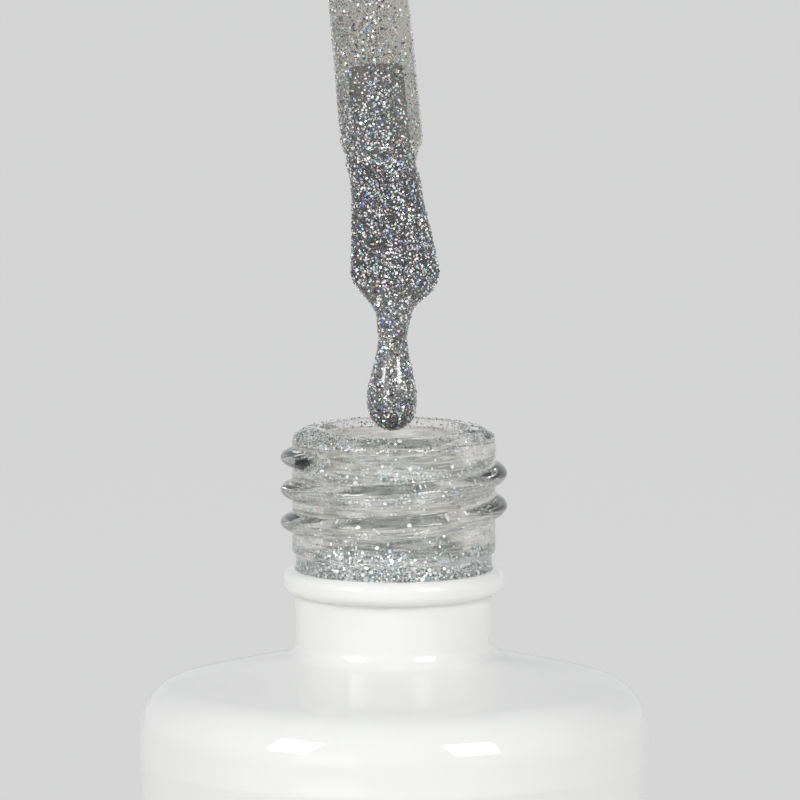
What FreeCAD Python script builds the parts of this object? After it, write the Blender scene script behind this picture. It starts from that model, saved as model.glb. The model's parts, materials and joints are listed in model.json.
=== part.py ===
import FreeCAD
import Part
import math
import os

# An open bottle of nail polish with its brush raised over the neck.
# Millimetres. +Z is up, and the origin is the centre of the bottle's foot, on the table.
# The bottle stands upright. The closure (washer, brush, inner cap, overcap) is drawn closed and
# upright on the bottle's axis, then swung up about the far pivot into the raised, leaning place.

V = FreeCAD.Vector
Z = V(0, 0, 1)

# Bottle glass
bottle_height = 55.0        # foot to sealing rim
body_r = 16.4               # glass at the parting line
foot_taper = 2.1            # radius lost from the parting line to the foot
heel_fillet = 1.8
seam_below_rim = 21.5       # parting line, the widest place
shoulder_fall = 0.24        # drop of the shoulder per unit of radius
shoulder_fillet = 3.1
neck_foot_below_rim = 14.8  # where the shoulder's line meets the neck
neck_foot_fillet = 1.3
neck_r = 6.25
bead_r = 7.05
bead_top_below_rim = 9.3
bead_height = 1.25
bead_fillet = 0.5
wall = 2.5
floor_thickness = 3.7
cavity_fillet = 2.8
bore_r = 4.6
bore_mouth_bevel = 0.4
bearing_ring = 3.8          # width of the foot outside the push-up
push_up_depth = 0.9

# Threaded finish
finish_r = 6.6
finish_foot_r = 6.37
finish_foot_height = 1.1    # plain glass between the bead and the threaded wall
lip_drop = 0.55
lip_land_r = 5.75
pitch = 2.117               # 12 threads to the inch
thread_height = 0.75
thread_root = 1.23
thread_crest = 0.7
thread_turns = 2.3
thread_end_below_rim = 1.63
thread_end_angle = 222.5    # upper end, degrees from +X
thread_sink = 0.4

# White coat, fired on the glass
coat = 0.15
coat_bottom = 0.9           # bare glass under this height

# Polish in the bottle
fill_level_below_rim = 24.0
fill_gap = 0.05
well_r = 6.8                # kept free for the brush
residue = 0.22              # polish left in the neck
residue_depth = 8.6
ball_r = 2.0
ball_from_side = 2.7        # ball's centre to the inside of the foot
ball_gap = 0.1

# Brush
rim_gap = 0.1               # between rim, washer, flange and cap when closed
washer_thickness = 0.7
washer_side_gap = 0.75      # washer and flange to the cap's thread
washer_bore_r = 3.4
flange_thickness = 1.0
hub_r = 3.0
hub_head_r = 3.5
hub_head_height = 0.8
stem_length = 33.5          # flange to mouth
stem_top_r = 2.35
stem_mouth_r = 2.55
stem_bevel = 0.35
socket_r = 1.8
socket_depth = 5.6
socket_gap = 0.05
film = 0.12
film_height = 15.0
tuft_length = 8.9
tuft_half_width = 2.7       # at the flared end
tuft_half_thickness = 1.25
anchor_r = 0.25
anchor_height = 4.7         # above the stem's mouth
tuft_coat = 0.12

# Hanging drop, measured down from the tuft's end
drop_neck_r = 0.92
drop_neck_below = 3.0
drop_bulb_r = 1.6
drop_bulb_below = 7.0
drop_length = 9.15

# Inner cap and overcap
cap_thread_gap = 0.3        # radial, so that the cap can also be drawn off in a curve
cap_thread_height = 0.45
cap_thread_turns = 1.6
cap_wall = 0.8
cap_ceiling = 1.2
cap_above_bead = 0.3
rib_count = 12
rib_height = 0.15
rib_width = 0.8
fit_gap = 0.1
overcap_wall = 1.0
overcap_length = 38.0
overcap_taper = 1.45        # radius lost from its mouth to its top
overcap_above_shoulder = 1.2
overcap_ceiling = 1.6
overcap_edge = 1.2
overcap_step = 1.6

# Raised place of the closure
lean = 5.3                  # degrees the brush leans when raised
raise_height = 50.5         # travel of the tuft's end
pivot_above_tuft_end = 26.6

foot_r = body_r - foot_taper
push_up_r = foot_r - bearing_ring
ball_track_r = foot_r - wall - ball_from_side
rim_z = bottle_height
seam_z = rim_z - seam_below_rim
bead_top_z = rim_z - bead_top_below_rim
bead_low_z = bead_top_z - bead_height
neck_foot_z = rim_z - neck_foot_below_rim
crest_r = finish_r + thread_height
washer_low_z = rim_z + rim_gap
flange_low_z = washer_low_z + washer_thickness + rim_gap
flange_top_z = flange_low_z + flange_thickness
mouth_z = flange_low_z - stem_length
tuft_end_z = mouth_z - tuft_length
ceiling_z = flange_top_z + rim_gap
cap_top_z = ceiling_z + cap_ceiling
cap_minor_r = crest_r + cap_thread_gap
washer_r = cap_minor_r - washer_side_gap
flange_r = washer_r
cap_root_r = cap_minor_r + cap_thread_height
cap_r = cap_root_r + cap_wall
cap_low_z = bead_top_z + coat + cap_above_bead
pivot_x = -raise_height / math.sin(math.radians(lean))
pivot_z = tuft_end_z + pivot_above_tuft_end


def shoulder_z(r):
    return neck_foot_z - shoulder_fall * (r - neck_r)


def line(a, b):
    return Part.LineSegment(a, b).toShape()


def outline_edges(corners):
    # Edges through (radius, height, fillet) corners in the XZ plane.
    points = [V(r, 0, z) for r, z, _ in corners]
    edges = []
    start = points[0]
    for i in range(1, len(points) - 1):
        here = points[i]
        fillet = corners[i][2]
        back = (points[i - 1] - here).normalize()
        ahead = (points[i + 1] - here).normalize()
        if fillet:
            half = back.getAngle(ahead) / 2
            reach = fillet / math.tan(half)
            first = here + back * reach
            last = here + ahead * reach
            centre = here + (back + ahead).normalize() * (fillet / math.sin(half))
            middle = centre + (here - centre).normalize() * fillet
            edges.append(line(start, first))
            edges.append(Part.Arc(first, middle, last).toShape())
            start = last
        else:
            edges.append(line(start, here))
            start = here
    edges.append(line(start, points[-1]))
    return edges


def turned(corners):
    # A solid of revolution whose outline starts and ends on the axis, or closes on itself.
    edges = outline_edges(corners)
    first, last = corners[0], corners[-1]
    edges.append(line(V(last[0], 0, last[1]), V(first[0], 0, first[1])))
    return Part.Face(Part.Wire(edges)).revolve(V(0, 0, 0), Z, 360)


def ring(inner_r, outer_r, low_z, high_z):
    tube = Part.makeCylinder(outer_r, high_z - low_z, V(0, 0, low_z))
    return tube.cut(Part.makeCylinder(inner_r, high_z - low_z, V(0, 0, low_z)))


def grown(corners, amount):
    # The same outline moved outwards: each side along its normal, each fillet to match.
    sides = []
    for (r0, z0, _), (r1, z1, _) in zip(corners, corners[1:]):
        length = math.hypot(r1 - r0, z1 - z0)
        along = ((r1 - r0) / length, (z1 - z0) / length)
        sides.append((r0 + along[1] * amount, z0 - along[0] * amount, along))
    moved = [(corners[0][0], sides[0][1], 0)]
    for (r0, z0, u), (r1, z1, w), corner in zip(sides, sides[1:], corners[1:]):
        turn = u[0] * w[1] - u[1] * w[0]
        step = ((r1 - r0) * w[1] - (z1 - z0) * w[0]) / turn
        fillet = corner[2] + math.copysign(amount, turn) if corner[2] else 0
        moved.append((r0 + u[0] * step, z0 + u[1] * step, fillet))
    moved.append((corners[-1][0], sides[-1][1], 0))
    return moved


def spiral_ridge(root_r, crest, root_width, crest_width, turns, low_z, start_angle, sink):
    # A right-hand thread ridge from its lower end upwards. crest is above or below root_r.
    # Its flanks run on under the wall by sink, so that it fuses with it.
    outward = math.copysign(1, crest - root_r)
    helix = Part.makeHelix(pitch, pitch * turns, root_r)
    edge_r = root_r + 0.7 * (crest - root_r)
    edge = crest_width / 2
    base_r = root_r - outward * sink
    foot = edge + (root_width / 2 - edge) * (edge_r - base_r) / (edge_r - root_r)
    sides = [V(edge_r, 0, edge), V(base_r, 0, foot), V(base_r, 0, -foot), V(edge_r, 0, -edge)]
    edges = [line(a, b) for a, b in zip(sides, sides[1:])]
    edges.append(Part.Arc(sides[-1], V(crest, 0, 0), sides[0]).toShape())
    ridge = Part.Wire(helix).makePipeShell([Part.Wire(edges)], True, True)
    ridge.rotate(V(0, 0, 0), Z, start_angle)
    ridge.translate(V(0, 0, low_z))
    return ridge


def glass_outline():
    return [
        (0, 0, 0),
        (foot_r, 0, heel_fillet),
        (body_r, seam_z, 0),
        (body_r, shoulder_z(body_r), shoulder_fillet),
        (neck_r, neck_foot_z, neck_foot_fillet),
        (neck_r, bead_low_z, bead_fillet / 2),
        (bead_r, bead_low_z, bead_fillet),
        (bead_r, bead_top_z, bead_fillet),
        (0, bead_top_z, 0),
    ]


def cavity_outline(gap=0.0):
    # The inside of the bottle up to the bore, kept gap clear of the glass.
    side_top_r = body_r - wall - gap
    side_low_r = foot_r - wall - gap
    roof_z = shoulder_z(side_top_r) - wall - gap
    return [
        (0, floor_thickness + gap, 0),
        (side_low_r, floor_thickness + gap, cavity_fillet),
        (side_top_r, seam_z, 0),
        (side_top_r, roof_z, shoulder_fillet - wall / 2),
        (bore_r, shoulder_z(bore_r) - wall - gap, neck_foot_fillet),
    ]


def bottle_glass():
    body = turned(glass_outline())
    finish = turned([
        (0, bead_low_z, 0),
        (finish_foot_r, bead_low_z, 0),
        (finish_foot_r, bead_top_z + finish_foot_height, 0),
        (finish_r, bead_top_z + finish_foot_height + finish_r - finish_foot_r, 0),
        (finish_r, rim_z - lip_drop, lip_drop * 0.8),
        (lip_land_r, rim_z, lip_drop),
        (0, rim_z, 0),
    ])
    low_z = rim_z - thread_end_below_rim - pitch * thread_turns
    start = thread_end_angle - 360 * thread_turns
    thread = spiral_ridge(finish_r, crest_r, thread_root, thread_crest, thread_turns, low_z, start, thread_sink)
    inside = turned(cavity_outline() + [
        (bore_r, rim_z - bore_mouth_bevel, 0),
        (bore_r + bore_mouth_bevel, rim_z, 0),
        (bore_r + bore_mouth_bevel, rim_z + 1, 0),
        (0, rim_z + 1, 0),
    ])
    push_up = turned([
        (0, -1, 0),
        (push_up_r, -1, 0),
        (push_up_r, 0, 0),
        (push_up_r - 2 * push_up_depth, push_up_depth, push_up_depth),
        (0, push_up_depth, 0),
    ])
    return body.fuse(finish).fuse(thread).cut(inside).cut(push_up).removeSplitter()


def bottle_coat():
    skin = turned(grown(glass_outline(), coat))
    under = Part.makeCylinder(body_r * 2, coat_bottom + 1, V(0, 0, -1))
    finish = Part.makeCylinder(finish_foot_r, bead_height + 1, V(0, 0, bead_low_z))
    return skin.cut(turned(glass_outline())).cut(under).cut(finish)


def ball_places():
    rest_z = floor_thickness + ball_gap + ball_r
    return [V(ball_track_r * math.cos(a), ball_track_r * math.sin(a), rest_z)
            for a in (math.radians(35), math.radians(80))]


def mixing_balls():
    return Part.Compound([Part.makeSphere(ball_r, place) for place in ball_places()])


def polish_fill():
    level_z = rim_z - fill_level_below_rim
    liquid = turned(cavity_outline(fill_gap) + [(bore_r, rim_z, 0), (0, rim_z, 0)])
    liquid = liquid.cut(Part.makeCylinder(body_r * 2, rim_z, V(0, 0, level_z)))
    liquid = liquid.cut(Part.makeCylinder(well_r, rim_z, V(0, 0, floor_thickness + fill_gap)))
    for place in ball_places():
        liquid = liquid.cut(Part.makeSphere(ball_r + ball_gap, place))
    return liquid


def neck_residue():
    top_z = rim_z - bore_mouth_bevel
    return turned([
        (bore_r - residue, top_z - residue_depth, 0),
        (bore_r, top_z - residue_depth - residue, 0),
        (bore_r, top_z, 0),
        (bore_r - residue, top_z - residue, 0),
    ])


def seal_washer():
    return ring(washer_bore_r, washer_r, washer_low_z, washer_low_z + washer_thickness)


def stem_r(above_mouth):
    return stem_mouth_r + (stem_top_r - stem_mouth_r) * above_mouth / stem_length


def brush_stem():
    # Stem, sealing flange and the mushroom hub that snaps through the inner cap's ceiling.
    head_z = cap_top_z + rim_gap
    body = turned([
        (0, mouth_z, 0),
        (stem_r(0) - stem_bevel, mouth_z, 0),
        (stem_r(stem_bevel * 2), mouth_z + stem_bevel * 2, 0),
        (stem_top_r, flange_low_z, 0),
        (flange_r, flange_low_z, 0),
        (flange_r, flange_top_z, 0),
        (hub_r, flange_top_z, 0),
        (hub_r, head_z, 0),
        (hub_head_r, head_z, 0),
        (hub_head_r - hub_head_height / 2, head_z + hub_head_height, 0),
        (0, head_z + hub_head_height, 0),
    ])
    return body.cut(Part.makeCylinder(socket_r, socket_depth, V(0, 0, mouth_z)))


def stem_film():
    low = stem_bevel * 2
    high = low + film_height
    return turned([
        (stem_r(low), mouth_z + low, 0),
        (stem_r(low) + film, mouth_z + low + film, 0),
        (stem_r(high) + film, mouth_z + high - film, 0),
        (stem_r(high), mouth_z + high, 0),
    ])


def oval(half_width, half_thickness, z):
    ellipse = Part.Ellipse(V(0, 0, z), half_width, half_thickness)
    return Part.Wire(ellipse.toShape())


def flared_tuft(skin=0.0):
    # The free bristles: round in the socket, flat and rounded at the end.
    wide, thick = tuft_half_width, tuft_half_thickness
    root = socket_r - socket_gap
    shape = [(-0.08, root * 0.8, root * 0.8), (0.18, root * 1.15, root * 0.84), (0.5, wide * 0.86, thick * 1.08),
             (0.8, wide, thick), (0.93, wide * 0.93, thick * 0.86), (1.0, wide * 0.62, thick * 0.45)]
    ovals = []
    for share, half_width, half_thickness in shape:
        z = mouth_z - tuft_length * share - (skin if share == 1.0 else 0)
        ovals.append(oval(half_width + skin, half_thickness + skin, z))
    return Part.makeLoft(ovals, True)


def cross_bar(r, half):
    return Part.makeCylinder(r, 2 * half, V(-half, 0, mouth_z + anchor_height), V(1, 0, 0))


def tuft_anchor():
    return cross_bar(anchor_r, socket_r - 4 * socket_gap)


def bristle_tuft():
    root = Part.makeCylinder(socket_r - socket_gap, socket_depth - socket_gap, V(0, 0, mouth_z))
    return root.fuse(flared_tuft()).cut(cross_bar(anchor_r + socket_gap, socket_r * 2))


def raised(shape):
    # Swings a closed, upright piece of the closure up into its raised, leaning place.
    shape = shape.copy()
    shape.rotate(V(pivot_x, 0, pivot_z), V(0, -1, 0), lean)
    return shape


def hanging_drop():
    # Drawn where it hangs, plumb under the raised tuft's end.
    end = Part.Vertex(V(0, 0, tuft_end_z))
    place = raised(end).Point
    top = place.z + 0.9
    narrow = place.z - drop_neck_below
    bulb = place.z - drop_bulb_below
    tip = place.z - drop_length
    curve = Part.BSplineCurve()
    curve.interpolate([V(1.35, 0, top - 2.1), V(drop_neck_r, 0, narrow),
                       V((drop_neck_r + drop_bulb_r) / 2, 0, (narrow + bulb) / 2),
                       V(drop_bulb_r, 0, bulb), V(drop_bulb_r * 0.8, 0, tip + drop_bulb_r * 0.4),
                       V(0, 0, tip)],
                      InitialTangent=V(-1, 0, -1), FinalTangent=V(-1, 0, 0))
    edges = [line(V(0, 0, top), V(1.35, 0, top)), line(V(1.35, 0, top), V(1.35, 0, top - 2.1)),
             curve.toShape(), line(V(0, 0, tip), V(0, 0, top))]
    drop = Part.Face(Part.Wire(edges)).revolve(V(0, 0, 0), Z, 360)
    drop.translate(V(place.x - 0.15, 0, 0))
    return drop


def polish_drop():
    # The polish that wraps the bristles and runs off their end.
    wrap = raised(flared_tuft(tuft_coat)).fuse(hanging_drop())
    above = raised(Part.makeCylinder(body_r, stem_length, V(0, 0, mouth_z - 0.1)))
    return wrap.cut(above).cut(raised(bristle_tuft())).removeSplitter()


def inner_cap():
    shell = turned([
        (cap_root_r, cap_low_z, 0),
        (cap_r, cap_low_z, 0),
        (cap_r, cap_top_z, cap_wall / 2),
        (hub_r + fit_gap, cap_top_z, 0),
        (hub_r + fit_gap, ceiling_z, 0),
        (cap_root_r, ceiling_z, 0),
    ])
    low_z = cap_low_z + pitch / 2
    thread = spiral_ridge(cap_root_r, cap_minor_r, thread_root * 0.8, thread_crest * 0.6, cap_thread_turns,
                          low_z, 0, cap_wall / 2)
    shell = shell.fuse(thread)
    rib_length = cap_top_z - cap_low_z - 2 * cap_wall
    rib = Part.makeBox(cap_wall / 2 + rib_height, rib_width, rib_length,
                       V(cap_r - cap_wall / 2, -rib_width / 2, cap_low_z + cap_wall))
    for i in range(rib_count):
        shell = shell.fuse(rib)
        rib = rib.copy()
        rib.rotate(V(0, 0, 0), Z, 360 / rib_count)
    return shell.removeSplitter()


def outer_cap():
    bore = cap_r + rib_height + fit_gap
    low_z = shoulder_z(bore) + overcap_above_shoulder
    top_z = low_z + overcap_length
    stop_z = cap_top_z + hub_head_height + 2 * fit_gap
    return turned([
        (bore, low_z, 0),
        (bore + overcap_wall, low_z, overcap_wall / 4),
        (bore + overcap_wall - overcap_taper, top_z, overcap_edge),
        (0, top_z, 0),
        (0, top_z - overcap_ceiling, 0),
        (bore - overcap_step, top_z - overcap_ceiling, overcap_edge / 2),
        (bore - overcap_step, stop_z, 0),
        (bore, stop_z, 0),
    ])


PIECES = {
    "bottle_glass": bottle_glass(),
    "bottle_coat": bottle_coat(),
    "polish_fill": polish_fill(),
    "neck_residue": neck_residue(),
    "mixing_balls": mixing_balls(),
    "seal_washer": raised(seal_washer()),
    "brush_stem": raised(brush_stem()),
    "stem_film": raised(stem_film()),
    "bristle_tuft": raised(bristle_tuft()),
    "tuft_anchor": raised(tuft_anchor()),
    "polish_drop": polish_drop(),
    "inner_cap": raised(inner_cap()),
    "outer_cap": raised(outer_cap()),
}

os.makedirs("parts", exist_ok=True)
for name, shape in PIECES.items():
    shape.exportStep("parts/" + name + ".step")
    box = shape.BoundBox
    print("%-13s solids %d valid %s volume %8.2f  x %7.2f %7.2f  y %7.2f %7.2f  z %7.2f %7.2f" % (
        name, len(shape.Solids), shape.isValid(), shape.Volume,
        box.XMin, box.XMax, box.YMin, box.YMax, box.ZMin, box.ZMax))
print("pivot x %.3f z %.3f, rim z %.2f, lean %.2f" % (pivot_x, pivot_z, rim_z, lean))
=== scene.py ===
import bpy
import json
import math
from mathutils import Matrix, Vector, noise


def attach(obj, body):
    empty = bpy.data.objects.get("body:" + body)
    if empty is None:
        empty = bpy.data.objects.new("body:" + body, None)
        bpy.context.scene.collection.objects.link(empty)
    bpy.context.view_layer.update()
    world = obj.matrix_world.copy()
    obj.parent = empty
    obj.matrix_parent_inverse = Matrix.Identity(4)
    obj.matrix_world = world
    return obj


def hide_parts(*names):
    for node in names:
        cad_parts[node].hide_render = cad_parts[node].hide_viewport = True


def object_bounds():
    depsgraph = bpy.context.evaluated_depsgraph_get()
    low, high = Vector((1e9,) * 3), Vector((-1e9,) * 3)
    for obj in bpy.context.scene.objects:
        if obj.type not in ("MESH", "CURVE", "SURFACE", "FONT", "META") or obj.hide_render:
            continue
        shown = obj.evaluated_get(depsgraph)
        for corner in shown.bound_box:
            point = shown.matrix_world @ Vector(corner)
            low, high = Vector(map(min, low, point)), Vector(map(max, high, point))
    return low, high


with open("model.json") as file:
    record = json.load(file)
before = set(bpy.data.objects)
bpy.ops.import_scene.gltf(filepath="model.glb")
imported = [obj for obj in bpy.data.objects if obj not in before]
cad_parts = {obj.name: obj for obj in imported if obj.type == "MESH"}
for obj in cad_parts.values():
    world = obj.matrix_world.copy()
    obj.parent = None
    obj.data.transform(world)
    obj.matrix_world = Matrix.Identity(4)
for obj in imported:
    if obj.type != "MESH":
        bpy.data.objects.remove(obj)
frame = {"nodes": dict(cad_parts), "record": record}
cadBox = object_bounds()

mm = 0.001
record = frame["record"]
mounts = {mount["name"]: mount for mount in record["mounts"]}
joints = {joint["name"]: joint for joint in record["behaviour"]["joints"]}
rimHeight = mounts["neck_finish"]["pos_m"][2] / mm    # table to sealing rim, in mm


def hexColour(text):
    # sRGB hex to the linear values that shaders take
    values = [int(text[i:i + 2], 16) / 255 for i in (1, 3, 5)]
    return tuple(v / 12.92 if v <= 0.04045 else ((v + 0.055) / 1.055) ** 2.4 for v in values) + (1.0,)


def addNode(tree, kind, inputs=None, **settings):
    node = tree.nodes.new(kind)
    for name, value in settings.items():
        setattr(node, name, value)
    for name, value in (inputs or {}).items():
        if isinstance(value, bpy.types.NodeSocket):
            tree.links.new(value, node.inputs[name])
        else:
            node.inputs[name].default_value = value
    return node


def newMaterial(name):
    material = bpy.data.materials.new(name)
    material.use_nodes = True
    material.node_tree.nodes.clear()
    return material, material.node_tree


def finishMaterial(tree, surface):
    addNode(tree, "ShaderNodeOutputMaterial", {"Surface": surface})


def fillSteps(ramp, stops):
    # hard steps of colour, each from its position up
    ramp.interpolation = "CONSTANT"
    ramp.elements[1].position = stops[1][0]
    for position, _ in stops[2:]:
        ramp.elements.new(position)
    for element, (position, colour) in zip(ramp.elements, stops):
        element.position = position
        element.color = hexColour(colour)


def meshPiece(name, points, faces, material, place=None):
    # points are in mm; place turns them into the row's frame
    mesh = bpy.data.meshes.new(name)
    mesh.from_pydata([Vector(p) * mm for p in points], [], faces)
    if place is not None:
        mesh.transform(place)
    mesh.polygons.foreach_set("use_smooth", [True] * len(mesh.polygons))
    mesh.materials.append(material)
    mesh.update()
    piece = bpy.data.objects.new(name, mesh)
    bpy.context.collection.objects.link(piece)
    return piece


def roundedOutline(corners, steps=8):
    # (radius, height, fillet) corners to plain points, each fillet as a fan of short chords
    points = []
    for i, (r, z, fillet) in enumerate(corners):
        here = Vector((r, z))
        if not fillet or i in (0, len(corners) - 1):
            points.append(here)
            continue
        back = (Vector(corners[i - 1][:2]) - here).normalized()
        ahead = (Vector(corners[i + 1][:2]) - here).normalized()
        half = back.angle(ahead) / 2
        centre = here + (back + ahead).normalized() * (fillet / math.sin(half))
        first = here + back * (fillet / math.tan(half)) - centre
        turn = first.angle_signed(here + ahead * (fillet / math.tan(half)) - centre)
        for step in range(steps + 1):
            points.append(centre + Matrix.Rotation(-turn * step / steps, 2) @ first)
    return points


def refined(points, longest):
    # the same outline with no side longer than longest
    out = [points[0]]
    for a, b in zip(points, points[1:]):
        count = max(1, math.ceil((b - a).length / longest))
        out += [a.lerp(b, k / count) for k in range(1, count + 1)]
    return out


def turnedMesh(outline, segments, swell=None, closed=False):
    # Sweeps an outline round Z. swell(radius, height, angle) gives the radius there.
    # A point on the axis makes one vertex; closed joins the last ring to the first.
    points, rings, faces = [], [], []
    for r, z in outline:
        if r < 1e-6:
            rings.append([len(points)] * segments)
            points.append((0, 0, z))
            continue
        rings.append(list(range(len(points), len(points) + segments)))
        for k in range(segments):
            angle = 2 * math.pi * k / segments
            here = swell(r, z, angle) if swell else r
            points.append((here * math.cos(angle), here * math.sin(angle), z))
    pairs = list(zip(rings, rings[1:]))
    if closed:
        pairs.append((rings[-1], rings[0]))
    for low, high in pairs:
        for k in range(segments):
            n = (k + 1) % segments
            face = []
            for v in (low[k], low[n], high[n], high[k]):
                if v not in face:
                    face.append(v)
            if len(face) > 2:
                faces.append(face)
    return points, faces


def dressNode(node, material):
    # a CAD piece that stays as it is gets only its material
    mesh = frame["nodes"][node].data
    mesh.materials.clear()
    mesh.materials.append(material)


def markCover(piece, points, cover):
    # stores how full of flakes each point is, from 0 to 1
    layer = piece.data.attributes.new("cover", "FLOAT", "POINT")
    layer.data.foreach_set("value", [cover(p) for p in points])


def smoothStep(x):
    x = min(1.0, max(0.0, x))
    return x * x * (3 - 2 * x)


# the raised closure's own place: rim centre of the closed bottle, carried to where the wand leans
axisUp = Vector(joints["cap_turn"]["axis"])
axisPlace = Vector(joints["cap_turn"]["pos_m"])
wandTurn = Vector((0, 0, 1)).rotation_difference(axisUp).to_matrix()
wandPlace = Matrix.Translation(axisPlace) @ wandTurn.to_4x4()
print("frame loaded, rim at", rimHeight, "mm")


view = {
    "acrossMm": 51.8,          # width of the field at the bottle
    "distanceMm": 600.0,
    "elevation": 7.33,
    "aimRightMm": 0.40,
    "aimAboveRimMm": 1.83,
}

camera = bpy.data.objects.new("camera", bpy.data.cameras.new("camera"))
bpy.context.collection.objects.link(camera)
aim = Vector((view["aimRightMm"], 0, rimHeight + view["aimAboveRimMm"])) * mm
tilt = math.radians(view["elevation"])
camera.location = aim + Vector((0, -math.cos(tilt), math.sin(tilt))) * view["distanceMm"] * mm
camera.rotation_euler = (aim - camera.location).to_track_quat("-Z", "Y").to_euler()
camera.data.sensor_width = 36
camera.data.lens = 36 * view["distanceMm"] / view["acrossMm"]
camera.data.clip_start = 0.01
bpy.context.scene.camera = camera

studio = {
    "horizonHex": "#e4e5e6",
    "zenithHex": "#97999c",
    "paperHex": "#585858",
    "floorHex": "#d4d4d4",
    "floorGlow": 0.91,
    "floorSizeM": 6.0,
}
# turn from the camera and rise in degrees, sizes in metres
boxes = {
    "leftBox": {"turn": -50, "rise": 31, "away": 0.60, "wide": 0.205, "tall": 0.28, "radiance": 8.3},
    "rightBox": {"turn": 39, "rise": 29, "away": 0.60, "wide": 0.225, "tall": 0.28, "radiance": 7.5},
    "frontCard": {"turn": -30, "rise": 4, "away": 0.90, "wide": 0.50, "tall": 0.50, "radiance": 0.8},
}

world = bpy.data.worlds.new("studio")
bpy.context.scene.world = world
world.use_nodes = True
tree = world.node_tree
sky = addNode(tree, "ShaderNodeTexCoord")
height = addNode(tree, "ShaderNodeSeparateXYZ", {0: sky.outputs["Generated"]})
fade = addNode(tree, "ShaderNodeMapRange", {
    0: height.outputs[2], 1: 0.0, 2: 0.75, 3: 0.0, 4: 1.0}, interpolation_type="SMOOTHSTEP")
glow = addNode(tree, "ShaderNodeMix", {
    "Factor": fade.outputs[0], 6: hexColour(studio["horizonHex"]),
    7: hexColour(studio["zenithHex"])}, data_type="RGBA")
tree.links.new(glow.outputs[2], tree.nodes["Background"].inputs["Color"])

paper, tree = newMaterial("paperSweep")    # seamless paper: flat, even and matt
shade = addNode(tree, "ShaderNodeBsdfPrincipled", {
    "Base Color": hexColour(studio["paperHex"]), "Roughness": 0.9, "Specular IOR Level": 0.1,
    "Emission Color": hexColour(studio["floorHex"]), "Emission Strength": studio["floorGlow"]})
finishMaterial(tree, shade.outputs[0])
half = studio["floorSizeM"] / 2 / mm
floor = meshPiece("floor", [(-half, -half, 0), (half, -half, 0), (half, half, 0), (-half, half, 0)],
                  [(0, 1, 2, 3)], paper)

for name, box in boxes.items():
    light = bpy.data.lights.new(name, "AREA")
    light.shape = "RECTANGLE"
    light.size, light.size_y = box["wide"], box["tall"]
    light.energy = box["radiance"] * math.pi * box["wide"] * box["tall"]
    lamp = bpy.data.objects.new(name, light)
    bpy.context.collection.objects.link(lamp)
    turn, rise = math.radians(box["turn"]), math.radians(box["rise"])
    towards = Vector((math.sin(turn) * math.cos(rise), -math.cos(turn) * math.cos(rise), math.sin(rise)))
    lamp.location = Vector((0, 0, rimHeight * mm)) + towards * box["away"]
    lamp.rotation_euler = (-towards).to_track_quat("-Z", "Y").to_euler()
bpy.context.scene.view_settings.view_transform = "Standard"
print("camera, floor and lights made")


def flintGlass():
    # Clear soda-lime flint glass, blown and fire polished: sharp clear gloss with faint draw waves.
    material, tree = newMaterial("flintGlass")
    place = addNode(tree, "ShaderNodeTexCoord")
    stretch = addNode(tree, "ShaderNodeMapping", {"Vector": place.outputs["Object"], "Scale": (1, 1, 8)})
    waves = addNode(tree, "ShaderNodeTexNoise", {
        "Vector": stretch.outputs[0], "Scale": 1 / (3.0 * mm), "Detail": 4.0})
    bump = addNode(tree, "ShaderNodeBump", {
        "Strength": 0.5, "Distance": 0.04 * mm, "Height": waves.outputs[0]})
    shade = addNode(tree, "ShaderNodeBsdfPrincipled", {
        "Base Color": hexColour("#fdfcfa"), "Roughness": 0.015, "IOR": 1.52, "Transmission Weight": 1.0,
        "Normal": bump.outputs[0]})
    # light from the lamps reaches the polish on the far side of the glass
    ray = addNode(tree, "ShaderNodeLightPath")
    through = addNode(tree, "ShaderNodeBsdfTransparent", {"Color": hexColour("#f0f2f1")})
    mixed = addNode(tree, "ShaderNodeMixShader", {
        0: ray.outputs["Is Shadow Ray"], 1: shade.outputs[0], 2: through.outputs[0]})
    finishMaterial(tree, mixed.outputs[0])
    return material


def whiteEnamel():
    # White organic enamel sprayed and baked on the glass: full gloss over a slightly soft, even white.
    material, tree = newMaterial("whiteEnamel")
    place = addNode(tree, "ShaderNodeTexCoord")
    peel = addNode(tree, "ShaderNodeTexNoise", {
        "Vector": place.outputs["Object"], "Scale": 1 / (1.6 * mm), "Detail": 2.0})
    bump = addNode(tree, "ShaderNodeBump", {
        "Strength": 0.08, "Distance": 0.02 * mm, "Height": peel.outputs[0]})
    cloud = addNode(tree, "ShaderNodeTexNoise", {
        "Vector": place.outputs["Object"], "Scale": 1 / (14 * mm), "Detail": 2.0})
    tone = addNode(tree, "ShaderNodeValToRGB", {"Fac": cloud.outputs[0]})
    tone.color_ramp.elements[0].color = hexColour("#e7e7e4")
    tone.color_ramp.elements[1].color = hexColour("#eeeeeb")
    shade = addNode(tree, "ShaderNodeBsdfPrincipled", {
        "Base Color": tone.outputs[0], "Roughness": 0.05, "IOR": 1.5, "Subsurface Weight": 0.15,
        "Subsurface Radius": (1.0, 0.9, 0.8), "Subsurface Scale": 0.4 * mm, "Normal": bump.outputs[0]})
    finishMaterial(tree, shade.outputs[0])
    return material


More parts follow.
